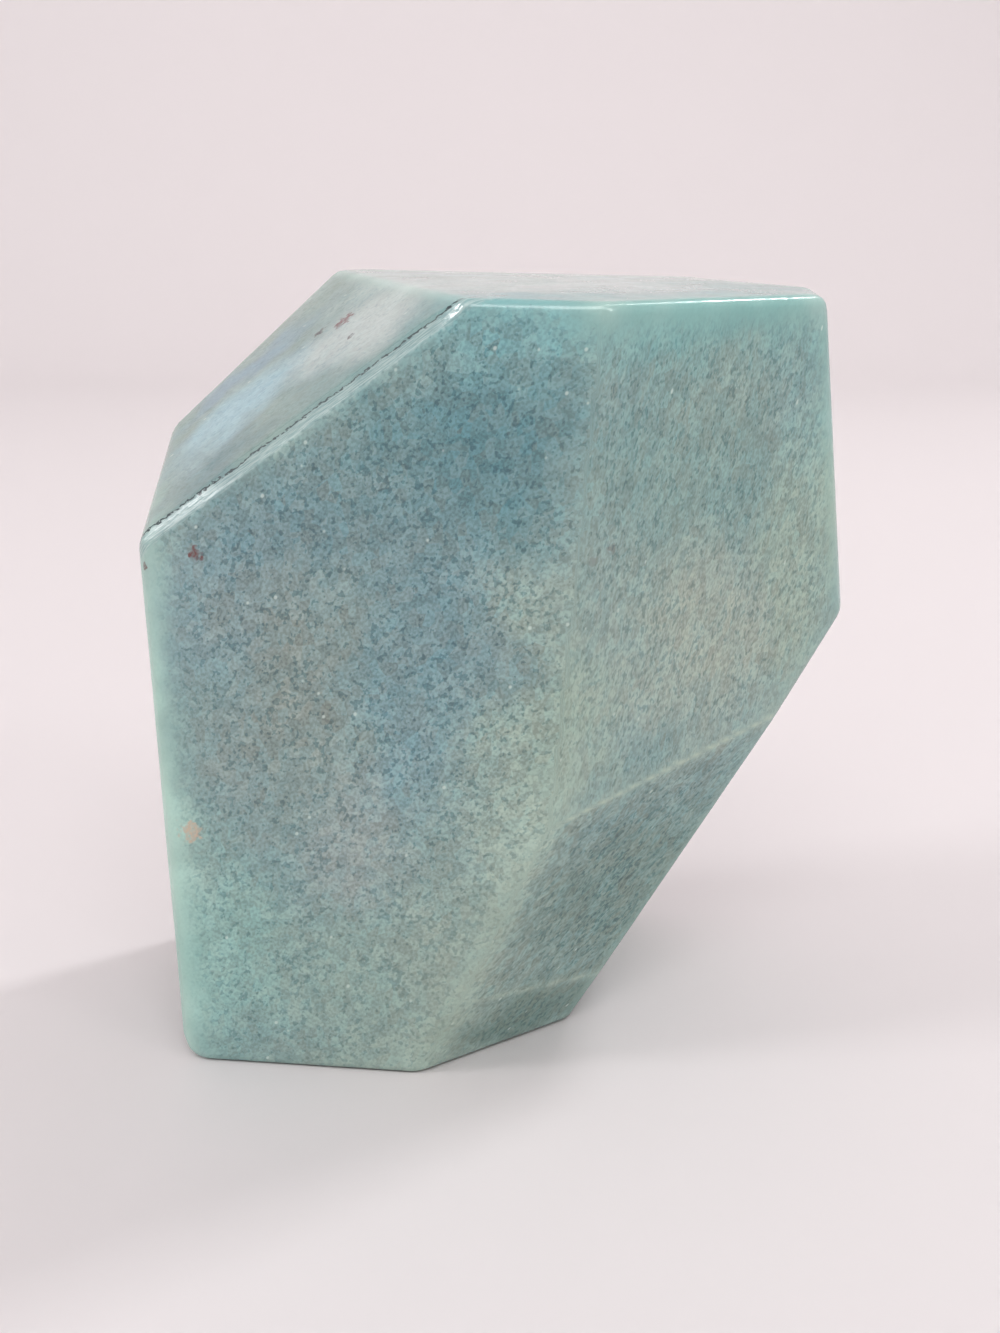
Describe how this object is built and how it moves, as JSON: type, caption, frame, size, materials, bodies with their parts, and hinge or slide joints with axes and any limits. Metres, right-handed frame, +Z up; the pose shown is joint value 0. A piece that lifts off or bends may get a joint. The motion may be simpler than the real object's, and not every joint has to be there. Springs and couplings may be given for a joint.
{
  "type": "polished trolleite free form",
  "caption": "Upright free-form block of polished blue-green stone with ground flats and rounded edges, standing on its flat base.",
  "frame": {"origin": "under the middle of the stone's box, on the plane that it stands on", "axes": "+Z up along the stone's height, -Y out of its front flat, +X to the right as seen from the front"},
  "size_m": [0.0714, 0.0426, 0.0791],
  "materials": {
    "trolleite": "hand-polished, glossy, mottled blue-green with fine darker grain"
  },
  "bodies": {
    "root": {"trolleite_stone": "trolleite"}
  },
  "joints": []
}
